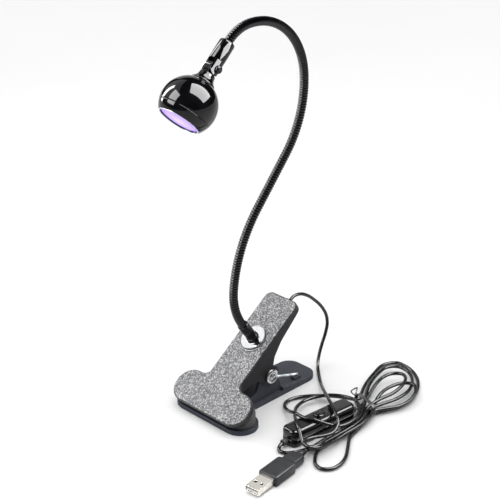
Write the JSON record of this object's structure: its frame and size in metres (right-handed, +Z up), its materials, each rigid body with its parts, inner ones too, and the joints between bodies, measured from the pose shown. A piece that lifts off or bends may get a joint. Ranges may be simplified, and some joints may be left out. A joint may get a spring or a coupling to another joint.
{
  "type": "uv curing lamp",
  "caption": "Clip-on ultraviolet lamp: spring clamp, flexible gooseneck, tilting ball head, and a thin USB lead with an in-line push switch.",
  "frame": {"origin": "middle of the lower lever's flat underside, on the surface that the lamp stands on", "axes": "+Z up, +Y from the jaws to the handle ends, +X across the clamp"},
  "size_m": [0.1592, 0.2232, 0.3129],
  "materials": {
    "clamp_plastic": "fine moulded texture",
    "lever_plastic": "matt, slightly blue",
    "glitter_sheet": "silver glitter under a clear film",
    "pad_rubber": "matt",
    "chrome": "polished",
    "spring_steel": "drawn wire",
    "zinc": "zinc plated",
    "black_gloss": "black gloss lacquer",
    "neck_finish": "black, semi-gloss",
    "violet_lens": "frosted",
    "reflector": "bright",
    "white_plastic": "moulded",
    "led_phosphor": "silicone dome",
    "heat_sink": "cast",
    "cord_sheath": "smooth PVC",
    "tie_wire": "PVC covered wire",
    "switch_plastic": "moulded, semi-gloss",
    "plug_plastic": "matt moulded grip",
    "plug_steel": "pressed and nickel plated",
    "contact_gold": "gold plated"
  },
  "bodies": {
    "lower_lever": {"lower_lever": "lever_plastic", "lower_jaw_pad": "pad_rubber", "pivot_screw": "chrome", "pivot_nut": "spring_steel", "torsion_spring": "spring_steel", "lamp_cord": "cord_sheath", "loose_loop": "cord_sheath", "cord_hank": "cord_sheath", "hank_tie": "tie_wire", "droop_loop": "cord_sheath", "switch_base": "switch_plastic", "switch_cover": "switch_plastic", "switch_contacts": "white_plastic", "switch_bush_near": "pad_rubber", "switch_bush_far": "pad_rubber", "switch_cord": "cord_sheath", "plug_grip": "plug_plastic", "plug_shell": "plug_steel", "plug_tongue": "white_plastic", "plug_contacts": "contact_gold", "plug_relief": "plug_plastic"},
    "upper_lever": {"upper_lever": "clamp_plastic", "glitter_panel": "glitter_sheet", "upper_jaw_pad": "pad_rubber", "neck_washer": "chrome", "foot_nut": "black_gloss", "neck_stud": "zinc", "lock_washer": "zinc", "stud_nut": "zinc", "base_ferrule": "black_gloss", "neck_segment_1": "neck_finish", "lever_lead": "cord_sheath", "cord_grommet": "pad_rubber"},
    "neck_2": {"neck_segment_2": "neck_finish"},
    "neck_3": {"neck_segment_3": "neck_finish"},
    "neck_4": {"neck_segment_4": "neck_finish"},
    "neck_5": {"neck_segment_5": "neck_finish"},
    "neck_6": {"neck_segment_6": "neck_finish"},
    "neck_7": {"neck_segment_7": "neck_finish", "tip_ferrule": "black_gloss", "tilt_screw": "chrome", "tilt_nut": "black_gloss"},
    "head": {"head_stem": "black_gloss", "stem_collar": "spring_steel", "rear_shell": "black_gloss", "front_ring": "black_gloss", "lens": "violet_lens", "reflector": "reflector", "led_board": "white_plastic", "led_emitter": "led_phosphor", "heat_sink": "heat_sink", "head_lead": "cord_sheath"},
    "button": {"switch_button": "switch_plastic"}
  },
  "joints": [
    {"name": "clamp_pivot", "type": "hinge", "parent": "lower_lever", "child": "upper_lever", "pos_m": [0, 0, 0.024], "axis": [1, 0, 0], "range_deg": [-42, 0], "stiffness_Nm_per_rad": 0.9, "springref_deg": 40.11, "deforming": ["torsion_spring", "lamp_cord"]},
    {"name": "neck_bend_1", "type": "hinge", "parent": "upper_lever", "child": "neck_2", "pos_m": [0, -0.02293, 0.11039], "axis": [1, 0, 0], "range_deg": [-20, 20]},
    {"name": "neck_sway_1", "type": "hinge", "parent": "neck_2", "child": "neck_3", "pos_m": [0, -0.00487, 0.15445], "axis": [0, 0.8217, -0.5699], "range_deg": [-20, 20]},
    {"name": "neck_bend_2", "type": "hinge", "parent": "neck_3", "child": "neck_4", "pos_m": [0, 0.02582, 0.19134], "axis": [1, 0, 0], "range_deg": [-20, 20]},
    {"name": "neck_sway_2", "type": "hinge", "parent": "neck_4", "child": "neck_5", "pos_m": [0, 0.04937, 0.23253], "axis": [0, 0.9716, -0.2368], "range_deg": [-20, 20]},
    {"name": "neck_bend_3", "type": "hinge", "parent": "neck_5", "child": "neck_6", "pos_m": [0, 0.04562, 0.2794], "axis": [1, 0, 0], "range_deg": [-20, 20]},
    {"name": "neck_bend_4", "type": "hinge", "parent": "neck_6", "child": "neck_7", "pos_m": [0, 0.01103, 0.30768], "axis": [1, 0, 0], "range_deg": [-20, 20]},
    {"name": "head_tilt", "type": "hinge", "parent": "neck_7", "child": "head", "pos_m": [0, -0.04416, 0.2851], "axis": [1, 0, 0], "range_deg": [-35, 35]},
    {"name": "button_press", "type": "slide", "parent": "lower_lever", "child": "button", "axis": [0, 0, -1], "range_m": [0, 0.0022], "stiffness_N_per_m": 350, "springref_m": -0.001}
  ]
}
